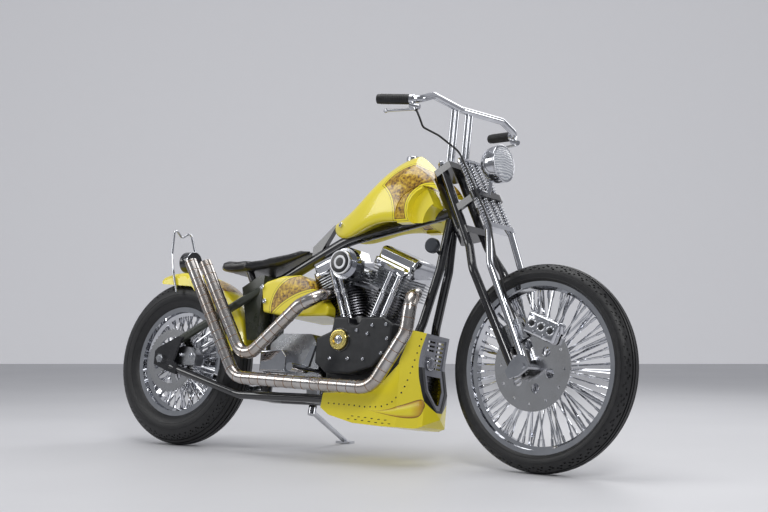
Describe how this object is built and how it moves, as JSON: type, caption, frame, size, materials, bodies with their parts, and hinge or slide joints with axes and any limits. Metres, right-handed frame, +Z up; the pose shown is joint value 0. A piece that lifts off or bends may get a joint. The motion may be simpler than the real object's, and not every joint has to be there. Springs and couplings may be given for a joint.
{
  "type": "chopper motorcycle",
  "caption": "Rigid-frame chopper with a springer fork, air-cooled V-twin, humped tank, spoked wheels and chin fairing, parked on its side stand.",
  "frame": {"origin": "centre of the bounding box on the ground, bike parked leaning on its side stand", "axes": "+X forward from rear wheel to front wheel, +Y to the rider's left, +Z up"},
  "size_m": [2.2833, 0.7646, 1.2886],
  "materials": {
    "frame": "gloss black paint",
    "alloy": "satin cast alloy",
    "chrome": "polished chrome",
    "brass": "polished brass",
    "black_alloy": "black finned alloy",
    "yellow_paint": "bright yellow gloss paint",
    "black_paint": "gloss black paint",
    "leather": "black leather",
    "steel": "bright steel",
    "tyre": "black tyre rubber",
    "rubber": "black rubber",
    "stainless": "brushed stainless pipe",
    "olive_paint": "dull olive paint",
    "grey_metal": "dark grey metal"
  },
  "bodies": {
    "chassis": {"frame_backbone": "frame", "frame_downtubes": "frame", "frame_rails": "frame", "frame_stays": "olive_paint", "crankcase": "alloy", "gearcase_cover": "black_alloy", "timing_cap": "brass", "cylinders": "black_alloy", "heads": "alloy", "rocker_boxes": "chrome", "pushrod_tubes": "chrome", "air_cleaner": "chrome", "carburettor": "alloy", "gearbox": "alloy", "gearbox_cover": "chrome", "primary_cover": "chrome", "exhaust_pipes": "stainless", "fuel_tank": "yellow_paint", "fuel_cap": "chrome", "oil_tank": "yellow_paint", "saddle": "leather", "saddle_bracket": "black_paint", "rear_fender": "yellow_paint", "sissy_bar": "chrome", "tail_lamp": "black_paint", "chin_fairing": "yellow_paint", "fairing_grille": "grey_metal", "cooler": "black_alloy", "horn": "chrome", "foot_controls": "chrome", "rear_caliper": "alloy", "drive_chain": "steel", "rear_axle": "steel", "stand_bracket": "frame"},
    "fork": {"rigid_legs": "black_paint", "spring_legs": "chrome", "fork_springs": "chrome", "rockers": "chrome", "risers": "chrome", "handlebar": "chrome", "grips": "rubber", "levers": "chrome", "brake_hose": "rubber", "headlamp": "chrome", "front_caliper": "alloy"},
    "front_wheel": {"front_tyre": "tyre", "front_rim": "chrome", "front_hub": "steel", "front_disc": "steel"},
    "rear_wheel": {"rear_tyre": "tyre", "rear_rim": "chrome", "rear_hub": "steel", "rear_disc": "steel", "rear_sprocket": "steel"},
    "side_stand": {"side_stand": "chrome"}
  },
  "joints": [
    {"name": "steering", "type": "hinge", "parent": "chassis", "child": "fork", "pos_m": [0.71717, -0.09765, 0.30123], "axis": [-0.4697, 0.1275, 0.8736], "range_deg": [-26, 38]},
    {"name": "front_wheel_spin", "type": "hinge", "parent": "fork", "child": "front_wheel", "pos_m": [0.79707, -0.10093, 0.34466], "axis": [0.0923, 0.9912, -0.095], "continuous": true},
    {"name": "rear_wheel_spin", "type": "hinge", "parent": "chassis", "child": "rear_wheel", "pos_m": [-0.81249, -0.0938, 0.3273], "axis": [0, 0.9895, -0.1444], "continuous": true},
    {"name": "side_stand_fold", "type": "hinge", "parent": "chassis", "child": "side_stand", "pos_m": [-0.23744, -0.00664, 0.14899], "axis": [-0.1202, 0.3927, 0.9118], "range_deg": [0, 78]}
  ]
}
